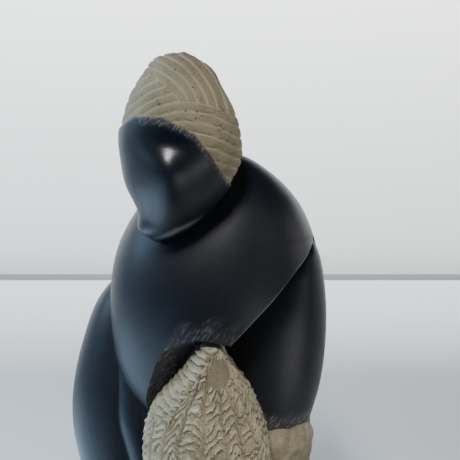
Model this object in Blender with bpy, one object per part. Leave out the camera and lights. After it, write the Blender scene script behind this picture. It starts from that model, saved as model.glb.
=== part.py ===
"""A seated figure carved from one block of dark stone, with a low base left in the same block.

The head is bowed over a broad chest. The chest narrows to the lower left into the folded arm, which lies over
a raised knee under a rough skirt. Behind stand the far arm, the hip, the shin and the rock that the figure
sits on. The egg-shaped head has a smooth face and carved locks of hair, and the skirt is worked in columns of
short chisel strokes.

Each mass of the carving is a loft between level rings, and each ring has its own reach to the left, right,
front and back. Boolean modifiers cut two hollows and join the masses, so the figure is one solid.
Lengths are in metres. +Z is up, and the figure is seen from the front along +Y. The origin is on the ground,
in the middle of the base.
"""

import math

import bmesh
import bpy
import numpy as np

# Driving sizes
CARVED_HEIGHT = 0.283
BASE_THICKNESS = 0.017
BASE_MARGIN = 0.009
BASE_EDGE = 0.003
HAIR_INSET = 0.0008
HAIR_GROOVE_DEPTH = 0.0009
SKIRT_STROKE_DEPTH = 0.0016
SKIRT_FURROW_DEPTH = 0.0010
ROCK_CHIP_DEPTH = 0.0022
STONE_COLOUR = (0.030, 0.032, 0.036, 1.0)
STONE_ROUGHNESS = 0.38

# The carving keeps its pose and proportions as shares of its own height, which is 283 shares. The masses that
# stand on the base start inside it, each at its own depth.
SHARE = CARVED_HEIGHT / 283
HIP_ROOT = -0.3 * BASE_THICKNESS / SHARE
SHIN_ROOT = -0.4 * BASE_THICKNESS / SHARE
SKIRT_ROOT = -0.5 * BASE_THICKNESS / SHARE
ROCK_ROOT = -0.6 * BASE_THICKNESS / SHARE

# A station is one level ring: its height over the base, then its reach to the left, right, front and back.
# A ring whose left equals its right is a rounded end.
TORSO = (
    (232.0, 13.0, 13.0, 12.0, 12.0),
    (230.5, -4.0, 26.0, -2.0, 28.0),
    (222.0, -18.0, 40.0, -15.0, 38.0),
    (207.0, -28.0, 54.5, -27.0, 48.0),
    (188.0, -39.0, 63.0, -35.0, 53.0),
    (165.0, -44.3, 68.0, -40.0, 54.0),
    (140.0, -44.5, 69.4, -40.0, 54.0),
    (115.0, -41.0, 67.0, -35.0, 53.0),
    (88.0, -27.5, 60.5, -29.0, 50.0),
    (40.0, -24.0, 50.0, -20.0, 44.0),
)
FAR_ARM = (
    (190.0, 60.0, 60.0, 10.0, 10.0),
    (181.0, 50.0, 65.4, -5.0, 24.0),
    (165.0, 30.0, 68.9, -11.0, 30.0),
    (148.0, 14.0, 70.3, -15.0, 32.0),
    (128.0, 6.0, 69.9, -17.0, 34.0),
    (108.0, 6.0, 67.4, -17.0, 34.0),
    (88.0, 8.0, 62.0, -15.0, 32.0),
    (60.0, 10.0, 54.0, -12.0, 30.0),
)
HIP = (
    (172.0, -26.0, -26.0, 24.0, 24.0),
    (165.0, -42.0, -12.0, 10.0, 38.0),
    (152.0, -54.0, -8.0, 1.0, 44.0),
    (134.0, -61.5, -8.0, -5.0, 48.0),
    (108.0, -68.0, -8.0, -11.0, 50.0),
    (86.0, -69.3, -8.0, -14.0, 50.0),
    (64.0, -66.0, -8.0, -15.0, 50.0),
    (42.0, -59.5, -8.0, -13.0, 48.0),
    (20.0, -53.0, -8.0, -10.0, 44.0),
    (HIP_ROOT, -50.0, -8.0, -8.0, 42.0),
)
SHIN = (
    (137.0, -37.0, -37.0, 4.0, 4.0),
    (131.0, -42.0, -30.0, -6.0, 14.0),
    (112.0, -43.0, -18.0, -15.0, 18.0),
    (93.0, -42.5, -15.0, -20.0, 18.0),
    (72.0, -36.5, -13.0, -23.0, 14.0),
    (35.0, -34.5, -12.0, -29.0, 10.0),
    (SHIN_ROOT, -37.0, -12.0, -33.0, 8.0),
)
SKIRT = (
    (143.5, 10.0, 10.0, -32.0, -32.0),
    (142.0, 4.0, 15.0, -40.0, -24.0),
    (135.0, -1.5, 18.5, -46.0, -12.0),
    (122.0, -10.5, 26.5, -50.0, 2.0),
    (110.0, -20.5, 33.0, -53.0, 8.0),
    (96.0, -26.0, 38.0, -55.0, 11.0),
    (70.0, -26.5, 41.0, -56.0, 12.0),
    (35.0, -28.0, 44.0, -56.5, 12.0),
    (SKIRT_ROOT, -31.0, 46.0, -58.0, 12.0),
)
ROCK = (
    (91.0, 34.0, 34.0, 8.0, 8.0),
    (90.7, 12.0, 57.0, -15.0, 28.0),
    (89.0, 6.0, 61.5, -19.0, 34.0),
    (84.5, 4.0, 63.5, -21.0, 38.0),
    (74.0, -14.0, 64.0, -22.0, 46.0),
    (58.0, -34.0, 61.5, -24.0, 52.0),
    (38.0, -52.0, 61.0, -28.0, 54.5),
    (18.0, -58.5, 61.5, -33.0, 54.5),
    (ROCK_ROOT, -61.0, 62.0, -38.0, 55.0),
)
# The hollow to the right of the folded arm: its left side cuts the arm's crisp lower edge.
ARM_HOLLOW = (
    (193.0, 66.0, 92.0, -60.0, 8.0),
    (188.0, 61.0, 92.0, -80.0, 8.0),
    (183.0, 57.0, 92.0, -80.0, 8.0),
    (177.0, 50.6, 92.0, -80.0, 6.0),
    (168.0, 42.3, 92.0, -80.0, 4.0),
    (155.0, 29.6, 92.0, -80.0, 2.0),
    (142.0, 17.3, 92.0, -80.0, 0.0),
    (120.0, -3.0, 92.0, -80.0, 0.0),
    (80.0, -7.0, 92.0, -80.0, 0.0),
    (30.0, -7.0, 92.0, -80.0, 0.0),
)
# The cove that frees the knee from the underside of the folded arm. Its keeled section leaves a slanting wall.
KNEE_COVE = (
    (147.5, 3.5, 3.5, -57.0, -57.0),
    (145.5, -10.0, 17.0, -75.0, -34.0),
    (143.6, -19.6, 29.6, -75.0, -30.0),
    (137.0, -27.0, 43.0, -75.0, -20.0),
    (123.0, -32.3, 48.3, -75.0, -10.0),
    (115.0, -38.8, 54.8, -75.0, -7.0),
    (104.0, -44.5, 60.5, -75.0, -3.0),
    (90.0, -44.0, 60.0, -72.0, -3.0),
)
KEELED_SECTION = 1.2
SMOOTH_SECTION = 2.25
BLOCKY_SECTION = 3.2
SQUARE_SECTION = 9.0

# The head is an egg on its own leaning axis: share of the way from chin to crown, then the reach to the left,
# right, front and back.
CHIN = (-19.0, -29.0, 193.0)
CROWN = (-2.8, -23.0, 283.8)
HEAD = (
    (0.000, 1.5, 1.5, 0.0, 0.0),
    (0.030, -5.0, 8.0, -8.0, 8.0),
    (0.110, -8.5, 17.5, -16.0, 18.0),
    (0.250, -16.0, 27.5, -25.0, 27.0),
    (0.380, -21.0, 33.5, -30.0, 32.0),
    (0.500, -24.0, 36.5, -32.5, 34.0),
    (0.630, -24.0, 34.0, -32.5, 33.0),
    (0.750, -21.9, 28.8, -30.0, 29.0),
    (0.880, -16.8, 19.4, -23.0, 22.0),
    (0.970, -8.0, 8.8, -12.0, 12.0),
    (1.000, 0.0, 0.0, 0.0, 0.0),
)
# The face swells gently forward below a shallow hollow under the hair. Each is a bell shape: its depth, its
# place across and half-width, and its place and half-height as shares of the way from chin to crown.
FACE_SWELL = (4.6, 2.0, 11.0, 0.345, 0.15)
BROW_HOLLOW = (3.0, 0.0, 15.0, 0.52, 0.085)
# The hairline seen from the front, as place across and height. It falls away towards the nape.
HAIRLINE = (
    (-40.0, 240.0),
    (-32.8, 247.8),
    (-24.4, 253.0),
    (-11.1, 252.8),
    (2.9, 245.3),
    (10.3, 235.9),
    (19.9, 219.3),
    (26.0, 196.0),
)
HAIRLINE_DEPTH = -28.0
HAIRLINE_FALL = 0.9
HAIRLINE_EASE = 1.4
# Locks around the head follow level arches, and locks on the crown follow circles about the left temple.
ARCH_MIDDLE = -0.4
ARCH_BEND = 0.0144
ARCH_START = 260.5
ARCH_PITCH = 4.1
ARCH_PITCH_GROWTH = 0.034
TEMPLE = (-25.1, 248.1)
TEMPLE_RADIUS = 24.4
TEMPLE_PITCH = 3.9
GROOVE_HALF_WIDTH = 0.9
# The fine egg is thinned to this part of its faces, which keeps the grooves and merges the smooth face.
HEAD_FACES_KEPT = 0.072

# Chisel strokes hang in columns around the skirt. Each stroke climbs to a crest and hooks down behind it.
SKIRT_COLUMNS = 20
STROKE_CREST = 0.6
STROKE_CLIMB = 0.55
STROKE_RISE = 3.9
STROKE_RISE_GROWTH = 0.045
STROKE_FOOT = 0.3
SKIRT_FADE = 6.0


def smooth_through(keys, values, at):
    """Natural cubic spline: the smoothest curve through the values at the keys, read at the places `at`."""
    keys = np.asarray(keys, float)
    values = np.asarray(values, float)
    gap = np.diff(keys)
    slope = np.diff(values, axis=0) / gap[:, None]
    system = np.eye(len(keys))
    bend = np.zeros_like(values)
    for i in range(1, len(keys) - 1):
        system[i, i - 1 : i + 2] = gap[i - 1], 2 * (gap[i - 1] + gap[i]), gap[i]
        bend[i] = 6 * (slope[i] - slope[i - 1])
    bend = np.linalg.solve(system, bend)
    span = np.clip(np.searchsorted(keys, at) - 1, 0, len(keys) - 2)
    width = gap[span][:, None]
    ahead = (keys[span + 1] - at)[:, None]
    behind = (at - keys[span])[:, None]
    curve = (bend[span] * ahead**3 + bend[span + 1] * behind**3) / (6 * width)
    line = values[span] * ahead + values[span + 1] * behind
    return curve + line / width - (bend[span] * ahead + bend[span + 1] * behind) * width / 6


def rings_through(stations, ring_count):
    """Rings through the stations, spaced evenly along the skin."""
    table = np.array(stations, float)
    steps = np.linalg.norm(np.diff(table, axis=0), axis=1)
    along = np.concatenate(([0.0], np.cumsum(steps)))
    rings = smooth_through(along, table, np.linspace(0.0, along[-1], ring_count))
    rings[:, 0] = np.clip(rings[:, 0], table[-1, 0], table[0, 0])
    return rings


def reaches_at(stations, heights):
    """Left, right, front and back reach of a mass at any heights."""
    fine = rings_through(stations, 400)[::-1]
    return [np.interp(heights, fine[:, 0], fine[:, column]) for column in (1, 2, 3, 4)]


def section(reaches, angles, power, inset=0.0):
    """Places across and deep on superellipses with the given reaches, drawn in by the inset."""
    left, right, front, back = reaches
    east = np.sign(np.cos(angles)) * np.abs(np.cos(angles)) ** (2 / power)
    north = np.sign(np.sin(angles)) * np.abs(np.sin(angles)) ** (2 / power)
    across = (left + right) / 2 + ((right - left) / 2 - inset) * east
    deep = (front + back) / 2 + ((back - front) / 2 - inset) * north
    return across, deep


def around(sides):
    """Equal turns once around."""
    return np.linspace(0.0, 2 * math.pi, sides, endpoint=False)


def stone_object(name, mesh, collection):
    """An object for the mesh in the collection, shaded smooth except over sharp edges."""
    mesh.shade_smooth()
    mesh.set_sharp_from_angle(angle=math.radians(35))
    made = bpy.data.objects.new(name, mesh)
    collection.objects.link(made)
    return made


def skin(name, rings, collection):
    """A closed skin over rings of points from the top down, with a fan to the middle of each end ring."""
    ring_count, sides = rings.shape[:2]
    points = rings * SHARE
    points[:, :, 2] += BASE_THICKNESS
    vertices = np.vstack((points.reshape(-1, 3), points[0].mean(axis=0), points[-1].mean(axis=0)))
    top = ring_count * sides
    bottom = top + 1
    lowest = (ring_count - 1) * sides
    faces = []
    for side in range(sides):
        following = (side + 1) % sides
        faces.append((top, side, following))
        faces.append((bottom, lowest + following, lowest + side))
        for ring in range(0, lowest, sides):
            faces.append((ring + following, ring + side, ring + sides + side, ring + sides + following))
    mesh = bpy.data.meshes.new(name)
    mesh.from_pydata(vertices.tolist(), [], faces)
    mesh.update()
    return stone_object(name, mesh, collection)


def loft(name, stations, sides, ring_count, power, collection):
    """A smooth mass of the carving through its stations."""
    rings = rings_through(stations, ring_count)[1:]
    angles = around(sides)
    across, deep = section(rings[:, 1:].T[:, :, None], angles, power)
    heights = np.broadcast_to(rings[:, :1], across.shape)
    return skin(name, np.stack((across, deep, heights), axis=2), collection)


def chipped_loft(name, stations, sides, ring_count, power, depth, collection):
    """A mass left rough from the point chisel: its skin is drawn in by shallow, uneven chips."""
    rings = rings_through(stations, ring_count)[1:]
    angles = around(sides)
    row = np.arange(len(rings))[:, None]
    chips = 0.5 + 0.25 * np.sin(5 * angles + 2.1 * row) + 0.25 * np.sin(11 * angles - 1.3 * row)
    across, deep = section(rings[:, 1:].T[:, :, None], angles, power, depth / SHARE * chips)
    heights = np.broadcast_to(rings[:, :1], across.shape)
    return skin(name, np.stack((across, deep, heights), axis=2), collection)


def skirt_loft(name, collection):
    """The skirt over the raised knee, in columns of chisel strokes like overlapping leaves.

    A column has a furrow on each side and a crest between them. A stroke is two rows of points: a lip, and
    just below it a foot that is cut in. Both rows climb from the furrow to the crest.
    """
    top = SKIRT[0][0]
    lips = [top - STROKE_FOOT * STROKE_RISE]
    rises = [STROKE_RISE]
    while lips[-1] - 2 * rises[-1] > SKIRT_ROOT:
        lips.append(lips[-1] - rises[-1])
        rises.append(STROKE_RISE + STROKE_RISE_GROWTH * (top - lips[-1]))
    lips, rises = np.array(lips), np.array(rises)
    rows = np.stack((lips, lips - STROKE_FOOT * rises), axis=1).reshape(-1, 1)
    fade = np.clip((top - rows) / SKIRT_FADE, 0, 1) * np.clip((rows - SKIRT_ROOT) / SKIRT_FADE, 0, 1)
    cut = np.tile((0.0, 1.0), len(lips))[:, None]
    fractions = np.add.outer(np.arange(SKIRT_COLUMNS), (0.0, STROKE_CREST)).ravel()
    furrow = np.tile((1.0, 0.0), SKIRT_COLUMNS)
    climb = STROKE_CLIMB * np.repeat(rises, 2)[:, None] * (1 - furrow)
    heights = rows + climb * fade
    depth = (SKIRT_STROKE_DEPTH * cut + SKIRT_FURROW_DEPTH * furrow) / SHARE * fade
    angles = fractions / SKIRT_COLUMNS * 2 * math.pi
    across, deep = section(reaches_at(SKIRT, heights), angles, SMOOTH_SECTION, depth)
    foot_across, foot_deep = section(SKIRT[-1][1:], angles, SMOOTH_SECTION)
    foot = np.stack((foot_across, foot_deep, np.full_like(foot_across, SKIRT_ROOT)), axis=1)
    return skin(name, np.vstack((np.stack((across, deep, heights), axis=2), foot[None])), collection)


def lock_grooves(across, deep, height):
    """How deep a point of the hair lies in the groove between two locks, from 0 to 1."""
    level = height + ARCH_BEND * (across - ARCH_MIDDLE) ** 2
    radius = np.hypot(across - TEMPLE[0], height - TEMPLE[1])
    below = ARCH_START - level
    arch_pitch = ARCH_PITCH + ARCH_PITCH_GROWTH * np.maximum(below, 0)
    on_crown = (below < 0) & (radius > TEMPLE_RADIUS) & (deep < CROWN[1])
    count = np.where(on_crown, (radius - TEMPLE_RADIUS) / TEMPLE_PITCH, below / arch_pitch)
    pitch = np.where(on_crown, TEMPLE_PITCH, arch_pitch)
    distance = np.abs(count - np.round(count)) * pitch
    return np.clip(1 - distance / GROOVE_HALF_WIDTH, 0, 1)


def bell(form, across, share):
    """A soft rise on the face: its depth at the middle, falling away to the sides and above and below."""
    depth, middle, half_width, level, half_height = form
    return depth * np.exp(-(((across - middle) / half_width) ** 2) - ((share - level) / half_height) ** 2)


def egg_head(name, collection):
    """The head, from a sphere whose rings take the head's reaches, with its locks of hair cut in."""
    mesh = bpy.data.meshes.new(name)
    ball = bmesh.new()
    bmesh.ops.create_uvsphere(ball, u_segments=190, v_segments=110, radius=1.0)
    ball.to_mesh(mesh)
    ball.free()
    places = np.empty(len(mesh.vertices) * 3)
    mesh.vertices.foreach_get("co", places)
    x, y, z = places.reshape(-1, 3).T
    share = (z + 1) / 2
    reaches = smooth_through([row[0] for row in HEAD], [row[1:] for row in HEAD], share).T
    across, deep = section(reaches, np.arctan2(y, x), SMOOTH_SECTION)
    forward = np.clip(-y / np.maximum(np.hypot(x, y), 1e-9), 0, 1)
    deep -= (bell(FACE_SWELL, across, share) - bell(BROW_HOLLOW, across, share)) * forward
    chin, crown = np.array(CHIN), np.array(CROWN)
    lean = (crown - chin) / np.linalg.norm(crown - chin)
    sideways = np.array((lean[2], 0.0, -lean[0])) / math.hypot(lean[2], lean[0])
    onward = np.cross(lean, sideways)
    places = chin + np.outer(share, crown - chin) + np.outer(across, sideways) + np.outer(deep, onward)
    fall = HAIRLINE_FALL * np.maximum(places[:, 1] - HAIRLINE_DEPTH, 0)
    hairline = np.interp(places[:, 0], *np.transpose(HAIRLINE)) - fall
    hair = np.clip((places[:, 2] - hairline) / HAIRLINE_EASE, 0, 1)
    cut = hair * (HAIR_INSET + HAIR_GROOVE_DEPTH * lock_grooves(*places.T)) / SHARE
    middle = (chin + crown) / 2
    outward = (places - middle) / np.linalg.norm(places - middle, axis=1, keepdims=True)
    places = (places - outward * cut[:, None]) * SHARE
    places[:, 2] += BASE_THICKNESS
    mesh.vertices.foreach_set("co", places.ravel())
    mesh.update()
    made = stone_object(name, mesh, collection)
    thinning = made.modifiers.new("thinning", "DECIMATE")
    thinning.ratio = HEAD_FACES_KEPT
    return made


def base_slab(name, collection):
    """The low foot of the block, with a small worn edge above and below. Its underside is flat."""
    carried = np.vstack((TORSO, FAR_ARM, HIP, SKIRT, ROCK))
    half_width = np.abs(carried[:, 1:3]).max() * SHARE + BASE_MARGIN
    half_depth = np.abs(carried[:, 3:5]).max() * SHARE + BASE_MARGIN
    levels = (
        (BASE_THICKNESS, BASE_EDGE),
        (BASE_THICKNESS - BASE_EDGE, 0.0),
        (BASE_EDGE, 0.0),
        (0.0, BASE_EDGE),
    )
    angles = around(44)
    rings = []
    chips = 0.5 - 0.25 * np.cos(6 * angles) - 0.25 * np.cos(14 * angles)
    for height, drawn_in in levels:
        inset = drawn_in + ROCK_CHIP_DEPTH * chips
        across, deep = section((-half_width, half_width, -half_depth, half_depth), angles, 6.0, inset)
        rings.append(np.stack((across, deep, np.full_like(across, height)), axis=1))
    rings = np.array(rings)
    rings[:, :, 2] -= BASE_THICKNESS
    return skin(name, rings / SHARE, collection)


def cut_away(target, cutter):
    """One hollow, kept as a modifier."""
    step = target.modifiers.new(cutter.name, "BOOLEAN")
    step.operation = "DIFFERENCE"
    step.solver = "EXACT"
    step.object = cutter


def join_all(target, masses):
    """All the masses of a collection joined to the target at once, kept as a modifier."""
    step = target.modifiers.new(masses.name, "BOOLEAN")
    step.operation = "UNION"
    step.solver = "EXACT"
    step.operand_type = "COLLECTION"
    step.collection = masses


def as_guide(made):
    """A mass that only shapes the figure is drawn as wire and isn't rendered."""
    made.hide_render = True
    made.display_type = "WIRE"


def stone():
    """Dark stone with a low polish."""
    made = bpy.data.materials.new("dark_polished_stone")
    made.use_nodes = True
    shader = made.node_tree.nodes["Principled BSDF"]
    shader.inputs["Base Color"].default_value = STONE_COLOUR
    shader.inputs["Roughness"].default_value = STONE_ROUGHNESS
    shader.inputs["Metallic"].default_value = 0.0
    return made


def main():
    for old in list(bpy.data.objects):
        bpy.data.objects.remove(old)
    parts = bpy.data.collections.new("seated_stone_figure")
    hollows = bpy.data.collections.new("carved_hollows")
    masses = bpy.data.collections.new("carved_masses")
    for collection in (parts, hollows, masses):
        bpy.context.scene.collection.children.link(collection)

    figure = loft("seated_figure", TORSO, 44, 24, SMOOTH_SECTION, parts)
    cut_away(figure, loft("arm_hollow", ARM_HOLLOW, 32, 20, SQUARE_SECTION, hollows))
    cut_away(figure, loft("knee_cove", KNEE_COVE, 32, 16, KEELED_SECTION, hollows))
    loft("far_arm", FAR_ARM, 32, 16, SMOOTH_SECTION, masses)
    loft("hip", HIP, 30, 18, SMOOTH_SECTION, masses)
    loft("shin", SHIN, 20, 14, SMOOTH_SECTION, masses)
    chipped_loft("rock", ROCK, 34, 13, BLOCKY_SECTION, ROCK_CHIP_DEPTH, masses)
    skirt_loft("skirt", masses)
    egg_head("head", masses)
    base_slab("base", masses)
    join_all(figure, masses)
    for guide in (*hollows.objects, *masses.objects):
        as_guide(guide)
    figure.data.materials.append(stone())


main()
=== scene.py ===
"""The seated figure in its finish: one block of dark stone, part polished and part left raw from the tool.

The masses of the carving are smooth skins worked out as functions of a turn around the figure and a height.
They are joined into one closed piece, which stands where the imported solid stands.
"""

import math

import bpy
import numpy as np
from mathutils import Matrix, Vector


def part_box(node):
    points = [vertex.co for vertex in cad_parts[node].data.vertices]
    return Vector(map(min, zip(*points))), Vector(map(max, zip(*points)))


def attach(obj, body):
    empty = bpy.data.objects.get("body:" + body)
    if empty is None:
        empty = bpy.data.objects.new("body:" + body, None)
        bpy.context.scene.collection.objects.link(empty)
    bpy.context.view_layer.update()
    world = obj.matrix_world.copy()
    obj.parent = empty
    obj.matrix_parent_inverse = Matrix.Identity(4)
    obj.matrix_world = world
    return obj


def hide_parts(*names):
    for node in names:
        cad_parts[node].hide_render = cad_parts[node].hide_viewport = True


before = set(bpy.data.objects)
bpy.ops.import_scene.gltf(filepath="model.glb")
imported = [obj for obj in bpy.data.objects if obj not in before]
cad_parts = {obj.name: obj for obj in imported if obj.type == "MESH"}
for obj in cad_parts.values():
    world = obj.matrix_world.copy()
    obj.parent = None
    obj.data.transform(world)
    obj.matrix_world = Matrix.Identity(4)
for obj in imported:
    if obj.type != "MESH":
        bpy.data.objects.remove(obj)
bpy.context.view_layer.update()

# The block. Every mass is measured in shares of the carved height, from the top of the low foot that the
# figure stands on. The foot is left in the same block, so its thickness comes off the whole height first.
FOOT_THICKNESS = 0.017
CARVED_SHARES = 283
SHARE = (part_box("seated_figure")[1][2] - FOOT_THICKNESS) / CARVED_SHARES
SMOOTH_SECTION = 2.25


def smooth_through(keys, values, at):
    """The natural cubic spline: cubics between the keys, with matching slope and bend where they meet."""
    keys = np.asarray(keys, float)
    values = np.asarray(values, float)
    gap = np.diff(keys)
    slope = np.diff(values, axis=0) / gap[:, None]
    system = np.eye(len(keys))
    inner = np.arange(1, len(keys) - 1)
    system[inner, inner - 1] = gap[:-1]
    system[inner, inner] = 2 * (gap[:-1] + gap[1:])
    system[inner, inner + 1] = gap[1:]
    bend = np.zeros_like(values)
    bend[1:-1] = 6 * np.diff(slope, axis=0)
    bend = np.linalg.solve(system, bend)
    span = np.clip(np.searchsorted(keys, at) - 1, 0, len(keys) - 2)
    width = gap[span][:, None]
    ahead = (keys[span + 1] - at)[:, None]
    behind = (at - keys[span])[:, None]
    curve = (bend[span] * ahead**3 + bend[span + 1] * behind**3) / (6 * width)
    line = values[span] * ahead + values[span + 1] * behind
    return curve + line / width - (bend[span] * ahead + bend[span + 1] * behind) * width / 6


def rings_through(stations, ring_count):
    """Rings (height, left, right, front, back) spaced evenly along the spline through the stations."""
    table = np.array(stations, float)
    steps = np.linalg.norm(np.diff(table, axis=0), axis=1)
    along = np.concatenate(([0.0], np.cumsum(steps)))
    rings = smooth_through(along, table, np.linspace(0.0, along[-1], ring_count))
    rings[:, 0] = np.clip(rings[:, 0], table[-1, 0], table[0, 0])
    return rings[1:]


def around(sides):
    """Equal turns once around, from the right through the back."""
    return np.linspace(0.0, 2 * math.pi, sides, endpoint=False)


def section(reaches, turns, power):
    """Superellipse: the cosine and the sine of the turn, to the power 2/power, scaled to the four reaches."""
    left, right, front, back = reaches
    east = np.sign(np.cos(turns)) * np.abs(np.cos(turns)) ** (2 / power)
    north = np.sign(np.sin(turns)) * np.abs(np.sin(turns)) ** (2 / power)
    across = (left + right) / 2 + (right - left) / 2 * east
    deep = (front + back) / 2 + (back - front) / 2 * north
    return across, deep


def waves(places, length, seed, count=9):
    """Soft unevenness from -1 to 1: the mean of sine waves of about this length in unlike directions."""
    chance = np.random.default_rng(seed)
    ways = chance.normal(size=(count, 3))
    ways /= np.linalg.norm(ways, axis=1, keepdims=True)
    pace = 2 * math.pi / length * chance.uniform(0.6, 1.6, count)
    start = chance.uniform(0, 2 * math.pi, count)
    return np.sin(places @ (ways * pace[:, None]).T + start).mean(axis=-1) * math.sqrt(2)


def pushed_out(grid, amount):
    """Each point of the grid moved along the skin's outward normal: the cross product of its two tangents."""
    down = np.gradient(grid, axis=0)
    along = (np.roll(grid, -1, axis=1) - np.roll(grid, 1, axis=1)) / 2
    normal = np.cross(down, along)
    normal /= np.maximum(np.linalg.norm(normal, axis=2, keepdims=True), 1e-9)
    return grid + normal * amount[:, :, None]


def skin(name, grid, **masks):
    """A closed skin over a grid of rings from the top down, with a fan to the middle of each end ring.

    Each mask is one value for each grid point, kept on the mesh. The material slot marks the mass.
    """
    rows, sides = grid.shape[:2]
    points = np.vstack((grid.reshape(-1, 3), grid[0].mean(axis=0), grid[-1].mean(axis=0))) * SHARE
    points[:, 2] += FOOT_THICKNESS
    number = np.arange(rows * sides).reshape(rows, sides)
    after = np.roll(number, -1, axis=1)
    quads = np.stack((after[:-1], number[:-1], number[1:], after[1:]), axis=2).reshape(-1, 4)
    top = np.column_stack((np.full(sides, rows * sides), number[0], after[0]))
    bottom = np.column_stack((np.full(sides, rows * sides + 1), after[-1], number[-1]))
    mesh = bpy.data.meshes.new(name)
    mesh.from_pydata(points.tolist(), [], top.tolist() + bottom.tolist() + quads.tolist())
    mesh.update()
    for mask in ("raw", "bruise", "stroke"):
        values = np.zeros(len(points))
        values[:-2] = masks.get(mask, np.zeros(rows * sides)).ravel()
        mesh.attributes.new(mask, "FLOAT", "POINT").data.foreach_set("value", values)
    mesh.materials.append(bpy.data.materials.new(name))
    made = bpy.data.objects.new(name, mesh)
    bpy.context.scene.collection.objects.link(made)
    return made


def loft(name, stations, sides, ring_count, power=SMOOTH_SECTION):
    """A smooth mass: superellipse rings through its stations."""
    rings = rings_through(stations, ring_count)
    across, deep = section(rings[:, 1:].T[:, :, None], around(sides), power)
    return skin(name, np.stack((across, deep, np.broadcast_to(rings[:, :1], across.shape)), axis=2))


# The chest and the folded arm are one polished sheet of stone. It swells forward from the right shoulder and
# narrows to the lower left. Its free edge is a crisp arris, undercut behind and just rounded by the polish.
CHEST = (
    (232.0, 13.0, 13.0, 12.0, 12.0),
    (230.5, -4.0, 26.0, -2.0, 28.0),
    (222.0, -18.0, 40.0, -15.0, 38.0),
    (207.0, -28.0, 54.5, -27.0, 48.0),
    (188.0, -39.0, 63.0, -35.0, 53.0),
    (165.0, -44.3, 68.0, -40.0, 54.0),
    (140.0, -44.5, 69.4, -40.0, 54.0),
    (115.0, -41.0, 67.0, -35.0, 53.0),
    (88.0, -27.5, 60.5, -29.0, 50.0),
    (40.0, -24.0, 50.0, -20.0, 44.0),
)
ARRIS = (
    (30.0, -7.0, 0.0),
    (80.0, -7.0, 0.0),
    (120.0, -3.0, 0.0),
    (142.0, 17.3, 0.0),
    (155.0, 29.6, 2.0),
    (168.0, 42.3, 4.0),
    (177.0, 50.6, 6.0),
    (183.0, 57.0, 8.0),
    (188.0, 61.0, 8.0),
    (193.0, 66.0, 8.0),
)
ARRIS_ROUND = 0.55
ARRIS_CROWDING = 0.8


def chest_grid(ring_count, front_columns, back_columns):
    """Rings of a superellipse, each cut off to the right of the arris and carried straight back behind it.

    The corner is a quadratic curve from just before the arris to just behind it.
    """
    rings = rings_through(CHEST, ring_count)
    height, left, right, front, back = rings.T[:, :, None]
    arris_heights = [row[0] for row in ARRIS]
    edge, behind = smooth_through(arris_heights, [row[1:] for row in ARRIS], rings[:, 0]).T[:, :, None]
    free = (height < ARRIS[-1][0]) & (edge < right)
    edge = np.where(free, edge, right)
    power = SMOOTH_SECTION
    place = (2 * edge - left - right) / (right - left)
    edge_turn = 2 * math.pi - np.arccos(np.clip(np.sign(place) * np.abs(place) ** (power / 2), -1, 1))
    reaches = (left, right, front, back)
    share = np.linspace(0.0, 1.0, front_columns) ** ARRIS_CROWDING
    face = section(reaches, math.pi + (edge_turn - math.pi) * share, power)
    corner_across, corner_deep = face[0][:, -1:], face[1][:, -1:]
    behind = np.where(free, np.maximum(behind, corner_deep), corner_deep)
    run = np.hypot(corner_across - face[0][:, -2:-1], corner_deep - face[1][:, -2:-1])
    round_off = np.minimum(ARRIS_ROUND, np.minimum(0.4 * run, 0.4 * (behind - corner_deep)))
    before_across = corner_across - (corner_across - face[0][:, -2:-1]) / run * round_off
    before_deep = corner_deep - (corner_deep - face[1][:, -2:-1]) / run * round_off
    turn = np.linspace(0.0, 1.0, 5)
    bend_across = before_across * (1 - turn) ** 2 + corner_across * (1 - (1 - turn) ** 2)
    bend_deep = (
        before_deep * (1 - turn) ** 2
        + corner_deep * 2 * turn * (1 - turn)
        + (corner_deep + round_off) * turn**2
    )
    wall = np.linspace(0.15, 1.0, 6)
    wall_across = np.broadcast_to(corner_across, (len(rings), 6))
    wall_deep = corner_deep + round_off + (behind - corner_deep - round_off) * wall
    rise = np.clip((2 * behind - front - back) / (back - front), -1, 1)
    back_turn = np.arcsin(np.sign(rise) * np.abs(rise) ** (power / 2))
    rear_turn = back_turn + (math.pi - back_turn) * np.linspace(0.0, 1.0, back_columns)[:-1]
    rear = section(reaches, rear_turn, power)
    ledge = np.linspace(0.0, 1.0, 6)[1:-1]
    ledge_across = corner_across + (rear[0][:, :1] - corner_across) * ledge
    ledge_deep = np.broadcast_to(behind, ledge_across.shape)
    across = np.hstack((face[0][:, :-1], bend_across, wall_across, ledge_across, rear[0]))
    deep = np.hstack((face[1][:, :-1], bend_deep, wall_deep, ledge_deep, rear[1]))
    return np.stack((across, deep, np.broadcast_to(height, across.shape)), axis=2)


chest = skin("chest", chest_grid(96, 70, 40))

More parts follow.
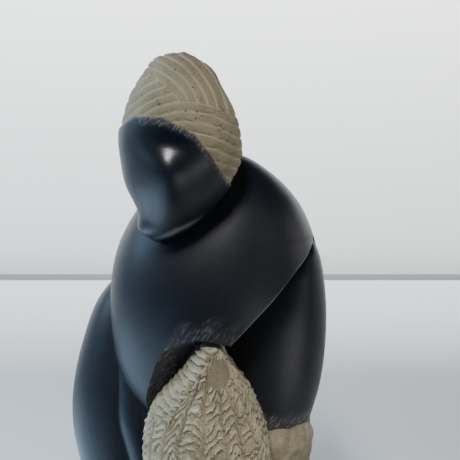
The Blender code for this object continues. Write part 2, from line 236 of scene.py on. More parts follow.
# The far arm, the hip and the shin are the polished masses behind the folded arm. They grow out of the same
# block and meet each other in soft valleys.
FAR_ARM = (
    (190.0, 60.0, 60.0, 10.0, 10.0),
    (181.0, 50.0, 65.4, -5.0, 24.0),
    (165.0, 30.0, 68.9, -11.0, 30.0),
    (148.0, 14.0, 70.3, -15.0, 32.0),
    (128.0, 6.0, 69.9, -17.0, 34.0),
    (108.0, 6.0, 67.4, -17.0, 34.0),
    (88.0, 8.0, 62.0, -15.0, 32.0),
    (60.0, 10.0, 54.0, -12.0, 30.0),
)
HIP = (
    (172.0, -26.0, -26.0, 24.0, 24.0),
    (165.0, -42.0, -12.0, 10.0, 38.0),
    (152.0, -54.0, -8.0, 1.0, 44.0),
    (134.0, -61.5, -8.0, -5.0, 48.0),
    (108.0, -68.0, -8.0, -11.0, 50.0),
    (86.0, -69.3, -8.0, -14.0, 50.0),
    (64.0, -66.0, -8.0, -15.0, 50.0),
    (42.0, -59.5, -8.0, -13.0, 48.0),
    (20.0, -53.0, -8.0, -10.0, 44.0),
    (-4.8, -50.0, -8.0, -8.0, 42.0),
)
SHIN = (
    (137.0, -37.0, -37.0, 4.0, 4.0),
    (131.0, -42.0, -30.0, -6.0, 14.0),
    (112.0, -43.0, -18.0, -15.0, 18.0),
    (93.0, -42.5, -15.0, -20.0, 18.0),
    (72.0, -36.5, -13.0, -23.0, 14.0),
    (35.0, -34.5, -12.0, -29.0, 10.0),
    (-6.4, -37.0, -12.0, -33.0, 8.0),
)
far_arm = loft("far_arm", FAR_ARM, 96, 64)
hip = loft("hip", HIP, 96, 80)
shin = loft("shin", SHIN, 64, 60)

# The head is an egg on a leaning axis, polished at the face, with a soft keel down its front. The hair is cut
# a little below the face and left raw, in locks parted by grooves that the graver bruised pale.
CHIN = np.array((-19.0, -29.0, 193.0))
CROWN = np.array((-2.8, -23.0, 283.8))
EGG = (
    (0.000, 1.5, 1.5, 0.0, 0.0),
    (0.030, -5.0, 8.0, -8.0, 8.0),
    (0.110, -8.5, 17.5, -16.0, 18.0),
    (0.250, -16.0, 27.5, -25.0, 27.0),
    (0.380, -21.0, 33.5, -30.0, 32.0),
    (0.500, -24.0, 36.5, -32.5, 34.0),
    (0.630, -24.0, 34.0, -32.5, 33.0),
    (0.750, -21.9, 28.8, -30.0, 29.0),
    (0.880, -16.8, 19.4, -23.0, 22.0),
    (0.970, -8.0, 8.8, -12.0, 12.0),
    (1.000, 0.0, 0.0, 0.0, 0.0),
)
FACE_SWELL = 4.6
FACE_SWELL_AT = 0.345
FACE_SWELL_HALF_WIDTH = 11.0
FACE_SWELL_RISE = 0.15
FACE_MIDDLE = 2.0
KEEL_START = 0.50
KEEL_EASE = 0.08
KEEL_DRIFT = 24.0
KEEL_LENGTH = 0.26
BROW_HOLLOW = 3.0
BROW_AT = 0.52
BROW_HALF_WIDTH = 15.0
BROW_HALF_HEIGHT = 0.085
HAIRLINE = (
    (-40.0, 240.0),
    (-32.8, 247.8),
    (-24.4, 253.0),
    (-11.1, 252.8),
    (2.9, 245.3),
    (10.3, 235.9),
    (19.9, 219.3),
    (26.0, 196.0),
)
HAIRLINE_DEPTH = -28.0
HAIRLINE_FALL = 0.9
HAIR_INSET = 1.0
HAIR_ROUGHNESS = 0.12
HAIR_FINE_ROUGHNESS = 0.08
LOCK_GROOVE = 0.75
LOCK_GROOVE_HALF_WIDTH = 0.75
LOCK_GROOVE_UNEVEN = 0.3
LOCK_GROOVE_UNEVEN_LENGTH = 9.0
LOCK_SWAY = 0.35
LOCK_SWAY_LENGTH = 22.0
ARCH_MIDDLE = -0.4
ARCH_BEND = 0.0144
ARCH_START = 260.5
ARCH_PITCH = 4.1
ARCH_PITCH_GROWTH = 0.034
TEMPLE = (-25.1, 248.1)
TEMPLE_RADIUS = 24.4
TEMPLE_PITCH = 3.9
POLE_GAP = 0.035
CROWN_CROWDING = 1.25


def above_hairline(places):
    """Height of each place over the hairline, which falls evenly towards the nape."""
    fall = HAIRLINE_FALL * np.maximum(places[..., 1] - HAIRLINE_DEPTH, 0)
    return places[..., 2] - np.interp(places[..., 0], *np.transpose(HAIRLINE)) + fall


def lock_groove(places):
    """1 in a groove and 0 on a lock. Grooves follow level arches, and circles about the temple on the crown.

    An arch is a parabola across the head. Its grooves part evenly, and wider the lower they lie.
    """
    across, deep, height = np.moveaxis(places, -1, 0)
    sway = LOCK_SWAY * waves(places, LOCK_SWAY_LENGTH, 3)
    level = height + ARCH_BEND * (across - ARCH_MIDDLE) ** 2 + sway
    radius = np.hypot(across - TEMPLE[0], height - TEMPLE[1]) + sway
    below = ARCH_START - level
    arch_pitch = ARCH_PITCH + ARCH_PITCH_GROWTH * np.maximum(below, 0)
    on_crown = (below < 0) & (radius > TEMPLE_RADIUS) & (deep < CROWN[1])
    count = np.where(on_crown, (radius - TEMPLE_RADIUS) / TEMPLE_PITCH, below / arch_pitch)
    pitch = np.where(on_crown, TEMPLE_PITCH, arch_pitch)
    distance = np.abs(count - np.round(count)) * pitch
    uneven = LOCK_GROOVE_UNEVEN * waves(places, LOCK_GROOVE_UNEVEN_LENGTH, 5)
    width = LOCK_GROOVE_HALF_WIDTH * (1 + uneven)
    return np.clip(1 - distance / width, 0, 1)


def head_grid(ring_count, sides):
    """Superellipse rings across the leaning axis, closest together on the hair.

    The keel and the hollow at the brow are bell curves added to the front reach. Below the brow the keel's
    middle drifts to the right by a ratio that starts level: the square of the way down, over that way plus
    the ease. Returned are the points, where there is hair, and where the grooves are.
    """
    turn_down = POLE_GAP + (math.pi - 2 * POLE_GAP) * np.linspace(0.0, 1.0, ring_count) ** CROWN_CROWDING
    share = (1 + np.cos(turn_down)) / 2
    turns = around(sides)
    reaches = smooth_through([row[0] for row in EGG], [row[1:] for row in EGG], share).T[:, :, None]
    across, deep = section(reaches, turns, SMOOTH_SECTION)
    front = np.clip(-np.sin(turns), 0, 1)
    share_down = share[:, None]
    below_brow = np.clip(KEEL_START - share_down, 0, 1)
    middle = FACE_MIDDLE + KEEL_DRIFT * below_brow**2 / (below_brow + KEEL_EASE)
    half_height = np.where(share_down < FACE_SWELL_AT, KEEL_LENGTH, FACE_SWELL_RISE)
    off_keel = (across - middle) / FACE_SWELL_HALF_WIDTH
    swell = np.exp(-(off_keel**2) - ((share_down - FACE_SWELL_AT) / half_height) ** 2)
    brow = np.exp(-((across / BROW_HALF_WIDTH) ** 2) - ((share_down - BROW_AT) / BROW_HALF_HEIGHT) ** 2)
    deep = deep - (FACE_SWELL * swell - BROW_HOLLOW * brow) * front
    lean = (CROWN - CHIN) / np.linalg.norm(CROWN - CHIN)
    sideways = np.array((lean[2], 0.0, -lean[0])) / math.hypot(lean[2], lean[0])
    onward = np.cross(lean, sideways)
    spine = CHIN + share[:, None, None] * (CROWN - CHIN)
    egg = spine + across[:, :, None] * sideways + deep[:, :, None] * onward
    hair = np.clip(above_hairline(egg), 0, 1)
    groove = lock_groove(egg)
    rough = HAIR_ROUGHNESS * waves(egg, 3.2, 11) + HAIR_FINE_ROUGHNESS * waves(egg, 1.7, 12)
    cut = hair * (HAIR_INSET + LOCK_GROOVE * groove - rough)
    return pushed_out(egg, -cut), hair, hair * groove


head_skin, head_hair, head_grooves = head_grid(165, 240)
head = skin("head", head_skin, raw=head_hair, bruise=head_grooves)

# The skirt covers the raised knee. It is raw stone, worked in columns of short chisel strokes that climb to
# a crest and hook down behind it. Broad flat bites step down its upper left edge, and one patch is bare.
SKIRT = (
    (143.5, 10.0, 10.0, -32.0, -32.0),
    (142.0, 4.0, 15.0, -40.0, -24.0),
    (135.0, -1.5, 18.5, -46.0, -12.0),
    (122.0, -10.5, 26.5, -50.0, 2.0),
    (110.0, -20.5, 33.0, -53.0, 8.0),
    (96.0, -26.0, 38.0, -55.0, 11.0),
    (70.0, -26.5, 41.0, -56.0, 12.0),
    (35.0, -28.0, 44.0, -56.5, 12.0),
    (-8.0, -31.0, 46.0, -58.0, 12.0),
)
STROKE_COLUMNS = 20
STROKE_RISE = 3.9
STROKE_RISE_GROWTH = 0.0045
STROKE_CREST = 0.64
STROKE_CLIMB = 1.15
STROKE_CLIMB_UNEVEN = 0.35
STROKE_LIP = 0.84
STROKE_CUT = 1.9
STROKE_CUT_UNEVEN = 0.25
STROKE_FADE = 2.5
COLUMN_WANDER = 0.16
COLUMN_STAGGER = 0.45
COLUMN_STAGGER_PACE = 2.4
FURROW_HALF_WIDTH = 0.09
FURROW_CUT = 0.6
BITE_RISE = 3.3
BITE_SLANT = 0.14
BITE_LENGTH = 8.0
BITE_UNEVEN = 2.5
BITE_WANDER = 0.3
BITE_LOWEST = 106.0
BITE_LIP = 0.15
BARE_PATCH = (13.5, 131.0, 5.5, 6.5)
BARE_PATCH_STANDS = 0.35


def skirt_strokes(turns, places):
    """(how far a place stands proud, from 0 to 1, how bruised it is, the phase) in the pattern of strokes.

    A stroke is a sawtooth of the phase, which is the depth below the knee plus a climb to the crest of the
    column. The bites are a plainer sawtooth of the height, and the bare patch is an ellipse without strokes.
    """
    across, deep, height = np.moveaxis(places, -1, 0)
    column = turns / (2 * math.pi) * STROKE_COLUMNS + COLUMN_WANDER * waves(places, 16.0, 21)
    part = column - np.floor(column)
    below = SKIRT[0][0] - height
    count = np.log1p(STROKE_RISE_GROWTH * below) / (STROKE_RISE_GROWTH * STROKE_RISE)
    rising = (part / STROKE_CREST) ** 0.85
    falling = 1 - ((part - STROKE_CREST) / (1 - STROKE_CREST)).clip(0, 1) ** 1.6
    climb = STROKE_CLIMB * np.where(part < STROKE_CREST, rising, falling)
    uneven = 0.55 * waves(places, 11.0, 22) + 0.20 * waves(places, 3.2, 23)
    climb = climb * (1 + STROKE_CLIMB_UNEVEN * waves(places, 13.0, 27))
    phase = count + climb + COLUMN_STAGGER * np.sin(COLUMN_STAGGER_PACE * column) + uneven
    saw = phase - np.floor(phase)
    leaf = np.clip(saw / STROKE_LIP, 0, 1) ** 0.8 * np.clip((1 - saw) / (1 - STROKE_LIP), 0, 1)
    furrow = np.clip(1 - np.minimum(part, 1 - part) / FURROW_HALF_WIDTH, 0, 1)
    stands = 1 - STROKE_CUT_UNEVEN + STROKE_CUT_UNEVEN * waves(places, 6.0, 26)
    proud = leaf * stands * (1 - FURROW_CUT * furrow)
    inward = across - np.interp(height, [row[0] for row in SKIRT[::-1]], [row[1] for row in SKIRT[::-1]])
    bite_phase = (height + BITE_SLANT * inward) / BITE_RISE + BITE_WANDER * waves(places, 7.0, 25)
    bite_saw = bite_phase - np.floor(bite_phase)
    bite = np.clip((1 - bite_saw) / (1 - BITE_LIP), 0, 1) ** 0.7 * np.clip(bite_saw / BITE_LIP, 0, 1)
    bitten = np.clip(BITE_LENGTH + BITE_UNEVEN * np.sin(5.0 * bite_phase) - inward, 0, 1)
    bitten = bitten * np.clip((height - BITE_LOWEST) / 2, 0, 1) * (deep < -8)
    proud = proud + (bite - proud) * bitten
    patch_x, patch_z, half_width, half_height = BARE_PATCH
    away = np.hypot((across - patch_x) / half_width, (height - patch_z) / half_height) + 0.15 * uneven
    bare = np.clip((1.15 - away) / 0.3, 0, 1) * (deep < -20)
    proud = proud + (BARE_PATCH_STANDS - proud) * bare
    bruised = np.clip(1.35 * proud - 0.45, 0, 1) * (1 - bare) * (1 - 0.5 * bitten)
    phase = np.where(bitten > 0.5, 1.3 * bite_phase, phase)
    return proud, bruised, np.where(bare > 0.5, 0.0, phase)


def skirt_grid(front_columns, back_columns, ring_count):
    """Superellipse rings drawn in by the strokes, with most columns in front, where the skirt is seen."""
    rings = rings_through(SKIRT, ring_count)
    back_turns = np.linspace(0.0, math.pi, back_columns, endpoint=False)
    front_turns = np.linspace(math.pi, 2 * math.pi, front_columns, endpoint=False)
    once_around = np.concatenate((back_turns, front_turns))
    turns = np.broadcast_to(once_around, (len(rings), len(once_around)))
    across, deep = section(rings[:, 1:].T[:, :, None], turns, SMOOTH_SECTION)
    plain = np.stack((across, deep, np.broadcast_to(rings[:, :1], across.shape)), axis=2)
    proud, bruise, phase = skirt_strokes(turns, plain)
    top = np.clip((SKIRT[0][0] - plain[:, :, 2]) / STROKE_FADE, 0, 1)
    foot = np.clip((plain[:, :, 2] + 6) / 4, 0, 1)
    return pushed_out(plain, -STROKE_CUT * (1 - proud) * top * foot), bruise, phase


skirt_skin, skirt_bruise, skirt_phase = skirt_grid(206, 34, 206)
skirt = skin("skirt", skirt_skin, raw=np.ones(skirt_bruise.shape), bruise=skirt_bruise, stroke=skirt_phase)

# The rock that the figure sits on, and the low foot, are left raw from the point chisel. The rock's skin is
# broken into shallow facets. The foot is a plain slab with rounded edges.
ROCK = (
    (91.0, 34.0, 34.0, 8.0, 8.0),
    (90.7, 12.0, 57.0, -15.0, 28.0),
    (89.0, 6.0, 61.5, -19.0, 34.0),
    (84.5, 4.0, 63.5, -21.0, 38.0),
    (74.0, -14.0, 64.0, -22.0, 46.0),
    (58.0, -34.0, 61.5, -24.0, 52.0),
    (38.0, -52.0, 61.0, -28.0, 54.5),
    (18.0, -58.5, 61.5, -33.0, 54.5),
    (-9.6, -61.0, 62.0, -38.0, 55.0),
)
ROCK_SECTION = 3.2
FOOT_SECTION = 6.0
FOOT_EDGE = 3.0
FOOT_TOP_RINGS = 10
FOOT_TOP_INSET = 40.0
CHIP_DEPTH = 2.2
CHIP_RIPPLE = 0.3


def chipped(grid, depth):
    """The grid drawn in by facets: the larger of two soft waves, and a finer ripple. Its end rings stay."""
    facets = np.maximum(waves(grid, 17.0, 31), waves(grid, 13.0, 32))
    ripple = CHIP_RIPPLE * waves(grid, 4.0, 33)
    amount = depth * np.clip(0.5 - 0.5 * facets - ripple, 0, 1)
    ends = np.ones(len(grid))
    ends[[0, -1]] = 0
    return pushed_out(grid, -amount * ends[:, None])


rock_rings = rings_through(ROCK, 70)
rock_across, rock_deep = section(rock_rings[:, 1:].T[:, :, None], around(176), ROCK_SECTION)
rock_heights = np.broadcast_to(rock_rings[:, :1], rock_across.shape)
rock_skin = np.stack((rock_across, rock_deep, rock_heights), axis=2)
rock = skin("rock", chipped(rock_skin, CHIP_DEPTH), raw=np.ones(rock_across.shape))

foot_half_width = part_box("seated_figure")[1][0] / SHARE
foot_half_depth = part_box("seated_figure")[1][1] / SHARE
foot_height = FOOT_THICKNESS / SHARE
foot_sides = [-FOOT_EDGE * 0.3, -FOOT_EDGE, -8.0, -12.0, FOOT_EDGE - foot_height, -foot_height]
foot_levels = np.array([0.0] * FOOT_TOP_RINGS + foot_sides)[:, None]
foot_top = np.linspace(FOOT_TOP_INSET, FOOT_EDGE, FOOT_TOP_RINGS)
foot_inset = np.concatenate((foot_top, (1.0, 0.3, 0.0, 0.0, 0.0, FOOT_EDGE)))[:, None]
foot_reach = (
    -foot_half_width + foot_inset,
    foot_half_width - foot_inset,
    -foot_half_depth + foot_inset,
    foot_half_depth - foot_inset,
)
foot_across, foot_deep = section(foot_reach, around(160), FOOT_SECTION)
foot_skin = np.stack((foot_across, foot_deep, np.broadcast_to(foot_levels, foot_across.shape)), axis=2)
foot = skin("foot", foot_skin, raw=np.ones(foot_across.shape))

# The cove under the folded arm frees the knee. It is only rasped, so it stays dull and scratched.
COVE = (
    (147.5, 3.5, 3.5, -57.0, -57.0),
    (145.5, -10.0, 17.0, -75.0, -34.0),
    (143.6, -19.6, 29.6, -75.0, -30.0),
    (137.0, -27.0, 43.0, -75.0, -20.0),
    (123.0, -32.3, 48.3, -75.0, -10.0),
    (115.0, -38.8, 54.8, -75.0, -7.0),
    (104.0, -44.5, 60.5, -75.0, -3.0),
    (90.0, -44.0, 60.0, -72.0, -3.0),
)
COVE_SECTION = 1.2
cove = loft("cove", COVE, 140, 60, COVE_SECTION)

# The masses become one stone: the cove is cut from the chest, and all the rest is joined to it at once.
masses = bpy.data.collections.new("masses")
for mass in (far_arm, hip, shin, head, skirt, rock, foot):
    masses.objects.link(mass)
cutting = chest.modifiers.new("cove", "BOOLEAN")
cutting.operation = "DIFFERENCE"
cutting.object = cove
joining = chest.modifiers.new("masses", "BOOLEAN")
joining.operation = "UNION"
joining.operand_type = "COLLECTION"
joining.collection = masses
for step in (cutting, joining):
    step.solver = "MANIFOLD"
    step.material_mode = "TRANSFER"
joined = bpy.data.meshes.new_from_object(chest.evaluated_get(bpy.context.evaluated_depsgraph_get()))
joined.shade_smooth()
joined.set_sharp_from_angle(angle=math.radians(40))
figure = bpy.data.objects.new("carved_figure", joined)
bpy.context.scene.collection.objects.link(figure)
for mass in (chest, cove, far_arm, hip, shin, head, skirt, rock, foot):
    bpy.data.objects.remove(mass)
bpy.data.collections.remove(masses)
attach(figure, "root")
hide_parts("seated_figure")


# The finish. The polish is nearly black, with a fine grain, a painted blue reflection, and painted highlights
# in grey along the arris and the jaw. The rasp leaves it grey and scratched. The raw stone is khaki, paler
# where the graver bruised it, darker where painted shade lies along the fine lines of the strokes, and
# pitted. Five masks on the mesh say which is where.
COVE_RIM = (
    (-20.0, 118.0),
    (-16.5, 127.0),
    (-11.7, 139.0),
    (-4.7, 144.5),
    (7.5, 146.0),
    (16.3, 144.0),
    (30.0, 138.0),
)
HAIR_SCUFF_BELOW = 1.2
HAIR_SCUFF_BAND = 2.2
COVE_SCUFF_ABOVE = 3.0
COVE_SCUFF_BAND = 8.0
COVE_SCUFF_MIDDLE = 3.0
COVE_SCUFF_HALF_WIDTH = 22.0
COVE_SCUFF_STRENGTH = 0.5
LIMB_RASP_TOP = 98.0
LIMB_RASP_LEFT = 26.0
# The painted highlight along the arris: how far from the edge its pale line on the polish reaches. It stands
# in for the light that the rounded edge catches.
ARRIS_HIGHLIGHT_WIDTH = 0.7
# The painted highlight on the jaw: where its pale band runs across, its height, its slope and its half-width.
# It stands in for the glint along the lower edge of the jaw.
JAW_GLINT = (-4.0, 201.5, 0.45, 2.2)
SHINE = (-8.0, 240.0, 9.0, 8.0)


def corner_masks(mesh):
    """The masks at each face corner, so that they change sharply where two masses meet.

    raw is 1 on raw stone and rasp on rasped stone. The pale mask is 1 where a tool left the raw stone pale;
    on the polish it holds the painted highlights along the arris and the jaw.
    """
    total = np.empty(len(mesh.polygons), int)
    mesh.polygons.foreach_get("loop_total", total)
    mass = np.empty(len(mesh.polygons), int)
    mesh.polygons.foreach_get("material_index", mass)
    mass = np.array([material.name for material in mesh.materials])[np.repeat(mass, total)]
    vertex = np.empty(len(mesh.loops), int)
    mesh.loops.foreach_get("vertex_index", vertex)
    places = np.empty(len(mesh.vertices) * 3)
    mesh.vertices.foreach_get("co", places)
    places = places.reshape(-1, 3)
    places[:, 2] -= FOOT_THICKNESS
    places = (places / SHARE)[vertex]
    across, deep, height = places.T
    kept = {}
    for name in ("raw", "bruise", "stroke"):
        values = np.empty(len(mesh.vertices))
        mesh.attributes[name].data.foreach_get("value", values)
        kept[name] = values[vertex]
    raw = np.where(np.isin(mass, ("skirt", "rock", "foot")), 1.0, kept["raw"])
    uneven = waves(places, 8.0, 41) + 0.6 * waves(places, 3.0, 42)
    edge = above_hairline(places)
    scuffed_edge = np.clip(1 - np.abs(edge + HAIR_SCUFF_BELOW + 0.8 * uneven) / HAIR_SCUFF_BAND, 0, 1)
    scuffed_edge *= (across > -22) & (mass == "head")
    limb_foot = np.clip((LIMB_RASP_TOP - height + 3 * uneven) / 5, 0, 1) * (across > LIMB_RASP_LEFT)
    limb_foot *= np.isin(mass, ("chest", "far_arm"))
    rim = np.interp(across, *np.transpose(COVE_RIM))
    scuff = np.clip(1.05 - np.abs(height - rim - COVE_SCUFF_ABOVE) / COVE_SCUFF_BAND + 0.6 * uneven, 0, 1)
    scuff_end = np.clip((COVE_SCUFF_HALF_WIDTH - np.abs(across - COVE_SCUFF_MIDDLE)) / 6, 0, 1)
    scuff *= COVE_SCUFF_STRENGTH * scuff_end * (mass == "chest") * (deep < -12)
    rasp = np.where(mass == "cove", 1.0, np.maximum(scuffed_edge, np.maximum(limb_foot, scuff)))
    # A painted highlight: the polish close to the arris is marked pale, for the light that the rounded edge
    # catches.
    near = np.abs(across - np.interp(height, [row[0] for row in ARRIS], [row[1] for row in ARRIS]))
    arris_highlight = np.clip(1 - near / ARRIS_HIGHLIGHT_WIDTH, 0, 1) * (mass == "chest") * (deep < 12)
    # A painted highlight: a pale band along the lower edge of the jaw, for the glint there.
    jaw_across, jaw_height, jaw_slope, jaw_band = JAW_GLINT
    jaw_highlight = np.abs(height - jaw_height - jaw_slope * (across - jaw_across) + 0.6 * uneven) / jaw_band
    jaw_highlight = np.clip(1 - jaw_highlight, 0, 1) * np.clip((13 - np.abs(across + 6)) / 8, 0, 1) * (mass == "head")
    chips = np.clip(0.35 + 0.6 * uneven, 0, 1) * np.isin(mass, ("rock", "foot"))
    # The pale mask: tool bruises and chips on the raw stone, and the painted highlights on the polish.
    bruise = np.maximum(kept["bruise"] * (raw > 0), np.maximum(arris_highlight, np.maximum(jaw_highlight, chips)))
    shine_across, shine_height, half_width, half_height = SHINE
    shine = np.hypot((across - shine_across) / half_width, (height - shine_height) / half_height)
    shine = np.clip(1.6 - shine, 0, 1) * (mass == "head") * (deep < -30)
    return {"raw": raw, "rasp": rasp, "bruise": bruise, "stroke": kept["stroke"], "shine": shine}


for kind, values in corner_masks(joined).items():
    if kind in joined.attributes:
        joined.attributes.remove(joined.attributes[kind])
    joined.attributes.new(kind, "FLOAT", "CORNER").data.foreach_set("value", values)

stone = bpy.data.materials.new("carved_stone")
stone.use_nodes = True
tree = stone.node_tree


def add(kind, settings=(), **values):
    """A node with its settings and inputs. An input is a value, or another node's socket.

    An input goes by its name, or by i and its number where several share a name.
    """
    made = tree.nodes.new(kind)
    for name, value in dict(settings).items():
        setattr(made, name, value)
    for name, value in values.items():
        socket = made.inputs[int(name[1:]) if name[0] == "i" and name[1:].isdigit() else name]
        if isinstance(value, bpy.types.NodeSocket):
            tree.links.new(value, socket)
        else:
            socket.default_value = value
    return made


def mixed(share, first, second):
    """A colour between two others."""
    return add("ShaderNodeMix", {"data_type": "RGBA"}, i0=share, i6=first, i7=second).outputs[2]


def between(share, first, second):
    """A number between two others."""
    return add("ShaderNodeMix", {"data_type": "FLOAT"}, i0=share, i2=first, i3=second).outputs[0]


def mottle(where, size, detail=3.0, sharp=0.5):
    """Noise from 0 to 1 with features of about this size in metres."""
    made = add("ShaderNodeTexNoise", (), Vector=where, Scale=1 / size, Detail=detail, Roughness=sharp)
    return made.outputs["Fac"]


def over(value, low, high):
    """0 below low and 1 above high, with a smooth step between."""
    made = add("ShaderNodeMapRange", {"interpolation_type": "SMOOTHSTEP"}, i0=value, i1=low, i2=high)
    return made.outputs[0]


def maths(operation, first, second=0.0):
    """One step of arithmetic."""
    return add("ShaderNodeMath", {"operation": operation}, i0=first, i1=second).outputs[0]


def mask(name):
    """One of the masks on the mesh."""
    return add("ShaderNodeAttribute", {"attribute_name": name}).outputs["Fac"]


def part_of(value, share):
    """A number weakened to this share."""
    return maths("MULTIPLY", value, share)


RASP_TILT = -0.9
RASP_STRETCH = (6.0, 3.0, 1.0)
COMB_LINES = 4.0
# Both polished colours are tinted blue: a painted reflection of blue light. The clouds mottle between them.
POLISH_BLACK = (0.0015, 0.003, 0.008, 1)
POLISH_PAINTED_BLUE = (0.004, 0.006, 0.012, 1)
POLISH_SPECK = (0.05, 0.05, 0.047, 1)
RASP_GREY = (0.036, 0.036, 0.040, 1)
RASP_SCRATCH = (0.20, 0.195, 0.19, 1)
RAW_DARK = (0.20, 0.168, 0.105, 1)
RAW_LIGHT = (0.355, 0.305, 0.20, 1)
RAW_GRAIN = (0.46, 0.41, 0.285, 1)
RAW_BRUISE = (0.76, 0.70, 0.53, 1)
# Painted shade: a darker brown along the fine lines where the strokes and the bites dip. The bare patch is
# given it all over.
RAW_STROKE_SHADE_AND_PATCH = (0.16, 0.135, 0.085, 1)
RAW_PIT = (0.06, 0.052, 0.038, 1)
# The grey of the painted highlights on the polish, along the arris and the jaw.
PAINTED_HIGHLIGHT_GREY = (0.22, 0.22, 0.215, 1)
POLISH_ROUGHNESS = (0.37, 0.51)
SHINE_ROUGHNESS = 0.27
RASP_ROUGHNESS = 0.55
RAW_ROUGHNESS = 0.85
CLOUD_SIZE = 0.012
GRAIN_SIZE = 0.0009
FINE_GRAIN_SIZE = 0.0004
SCRATCH_SIZE = 0.0008
PIT_PATCH_SIZE = 0.004
PITS_PER_METRE = 420.0
BUMP_DEPTH = 0.0005

where = add("ShaderNodeTexCoord").outputs["Object"]
rasp_turn = {"Vector": where, "Rotation": (0.0, RASP_TILT, 0.0), "Scale": RASP_STRETCH}
rasp_way = add("ShaderNodeMapping", {"vector_type": "TEXTURE"}, **rasp_turn).outputs[0]
raw, rasp, bruise = mask("raw"), mask("rasp"), mask("bruise")
clouds = mottle(where, CLOUD_SIZE)
grain = mottle(where, GRAIN_SIZE, 2.0)
fine_grain = mottle(where, FINE_GRAIN_SIZE, 1.0)
scratches = over(mottle(rasp_way, SCRATCH_SIZE, 3.0, 0.6), 0.50, 0.68)
comb = maths("FRACT", maths("MULTIPLY", mask("stroke"), COMB_LINES))
pit_cells = add("ShaderNodeTexVoronoi", (), Vector=where, Scale=PITS_PER_METRE).outputs["Distance"]
pits = maths("MULTIPLY", over(pit_cells, 0.34, 0.16), over(mottle(where, PIT_PATCH_SIZE), 0.50, 0.62))

# A painted reflection: the polish is tinted blue.
polished_colour = mixed(clouds, POLISH_BLACK, POLISH_PAINTED_BLUE)
polished_colour = mixed(part_of(over(fine_grain, 0.62, 0.75), 0.5), polished_colour, POLISH_SPECK)
rasped_colour = mixed(scratches, RASP_GREY, RASP_SCRATCH)
raw_colour = mixed(over(clouds, 0.35, 0.65), RAW_DARK, RAW_LIGHT)
raw_colour = mixed(part_of(over(grain, 0.35, 0.7), 0.55), raw_colour, RAW_GRAIN)
raw_colour = mixed(part_of(bruise, 0.85), raw_colour, RAW_BRUISE)
# Painted shade: darker brown at the foot of each fine line of the strokes and the bites, and over the whole
# bare patch.
raw_colour = mixed(part_of(over(comb, 0.5, 0.0), 0.6), raw_colour, RAW_STROKE_SHADE_AND_PATCH)
raw_colour = mixed(part_of(pits, 0.75), raw_colour, RAW_PIT)
# Painted highlights: the polish turns grey where the pale mask marks the arris and the jaw.
painted_highlight_colour = mixed(part_of(bruise, 0.7), polished_colour, PAINTED_HIGHLIGHT_GREY)
colour = mixed(raw, mixed(rasp, painted_highlight_colour, rasped_colour), raw_colour)
polish_roughness = between(mask("shine"), between(grain, *POLISH_ROUGHNESS), SHINE_ROUGHNESS)
roughness = between(raw, between(rasp, polish_roughness, RASP_ROUGHNESS), RAW_ROUGHNESS)
raw_height = maths("SUBTRACT", maths("ADD", grain, comb), pits)
height = between(raw, between(rasp, part_of(grain, 0.12), scratches), raw_height)
bump = add("ShaderNodeBump", (), Strength=0.5, Distance=BUMP_DEPTH, Height=height)
shader = tree.nodes["Principled BSDF"]
shader.inputs["Specular IOR Level"].default_value = 0.7
shader.inputs["IOR"].default_value = 1.38
tree.links.new(colour, shader.inputs["Base Color"])
tree.links.new(roughness, shader.inputs["Roughness"])
tree.links.new(bump.outputs["Normal"], shader.inputs["Normal"])
joined.materials.clear()
joined.materials.append(stone)

# A plain pale table top stands a little short of a plain pale wall. In the gap between them a grey board is
# painted as the shade there. Soft windows light the stone from both sides, and one small lamp above makes the
# light on the face.
def board(name, middle, size, colour):
    """A flat board, painted matt."""
    bpy.ops.mesh.primitive_plane_add(size=1.0, location=middle)
    made = bpy.context.active_object
    made.name = name
    made.scale = (size[0], size[1], 1.0)
    paint = bpy.data.materials.new(name)
    paint.use_nodes = True
    paint.node_tree.nodes["Principled BSDF"].inputs["Base Color"].default_value = colour
    paint.node_tree.nodes["Principled BSDF"].inputs["Roughness"].default_value = 0.9
    made.data.materials.append(paint)
    return made


board("floor", (0.0, 0.3195, 0.0), (6.0, 0.879), (0.80, 0.825, 0.85, 1.0))
# A grey board below the table's far edge, painted as the shade in the gap in front of the wall.
gap = board("gap_painted_shade", (0.0, 0.79, -0.015), (6.0, 0.034), (0.40, 0.43, 0.45, 1.0))
gap.rotation_euler = (math.radians(90), 0.0, 0.0)
wall = board("wall", (0.0, 0.80, 0.235), (6.0, 0.51), (0.82, 0.83, 0.83, 1.0))
wall.rotation_euler = (math.radians(90), 0.0, 0.0)


def window(name, place, aim, width, height, power, colour):
    """A flat soft light facing the aim."""
    lamp = bpy.data.lights.new(name, "AREA")
    lamp.shape = "RECTANGLE"
    lamp.size = width
    lamp.size_y = height
    lamp.energy = power
    lamp.color = colour
    made = bpy.data.objects.new(name, lamp)
    bpy.context.scene.collection.objects.link(made)
    made.location = place
    made.rotation_euler = (Vector(aim) - Vector(place)).to_track_quat("-Z", "Y").to_euler()


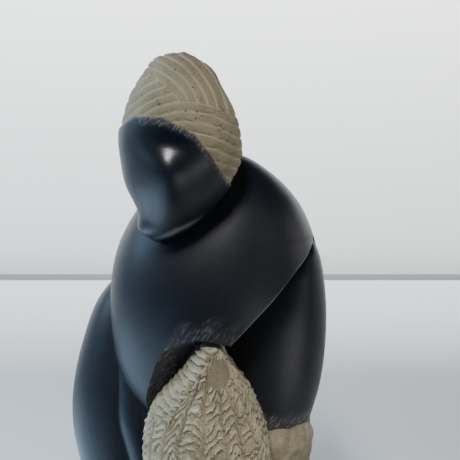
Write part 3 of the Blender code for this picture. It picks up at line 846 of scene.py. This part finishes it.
window("wall_wash", (0.0, 0.30, 0.66), (0.0, 0.80, 0.70), 2.6, 0.12, 35, (0.99, 1.0, 1.0))
window("left_window", (-0.75, 0.12, 0.30), (0, 0, 0.15), 1.1, 0.62, 1.0, (0.42, 0.69, 1.0))
window("left_fill", (-1.0, -0.84, 0.30), (0, 0, 0.15), 0.9, 0.6, 0.4, (0.46, 0.72, 1.0))
window("table_glow", (-0.29, -0.10, 0.012), (-0.29, -0.10, 1.0), 0.34, 0.50, 1.1, (0.50, 0.74, 1.0))
window("floor_wash", (-0.40, 0.0, 0.40), (-0.32, 0.02, 0.0), 0.3, 0.5, 2.2, (0.55, 0.77, 1.0))
window("right_window", (1.15, 0.15, 0.40), (0, 0, 0.15), 0.5, 0.6, 1.6, (1.0, 0.97, 0.92))
window("right_fill", (0.90, -0.70, 0.85), (0, 0, 0.15), 0.6, 0.6, 1.0, (1.0, 0.98, 0.95))
window("right_low", (0.54, -0.72, -0.10), (0.03, 0, 0.10), 0.50, 0.30, 1.9, (1.0, 0.98, 0.95))
window("ceiling_light", (-0.15, -0.72, 1.04), (0, 0, 0.22), 0.16, 0.25, 9.5, (1.0, 0.985, 0.96))
room = bpy.data.worlds.new("room")
bpy.context.scene.world = room
room.use_nodes = True
room.node_tree.nodes["Background"].inputs["Color"].default_value = (0.80, 0.88, 1.0, 1.0)
room.node_tree.nodes["Background"].inputs["Strength"].default_value = 0.04

# The camera stands a little above the head's height and looks ten degrees down on the upper figure.
CAMERA_PITCH = math.radians(10.0)
CAMERA_DISTANCE = 0.400
CAMERA_AIM = Vector((0.0185, -0.015, 0.213))
CAMERA_LENS = 36.0 * 800 / 460
eye = bpy.data.objects.new("camera", bpy.data.cameras.new("camera"))
bpy.context.scene.collection.objects.link(eye)
eye.data.sensor_width = 36.0
eye.data.lens = CAMERA_LENS
eye.data.clip_start = 0.01
eye.location = CAMERA_AIM - CAMERA_DISTANCE * Vector((0.0, math.cos(CAMERA_PITCH), -math.sin(CAMERA_PITCH)))
eye.rotation_euler = (math.radians(90) - CAMERA_PITCH, 0.0, 0.0)
bpy.context.scene.camera = eye
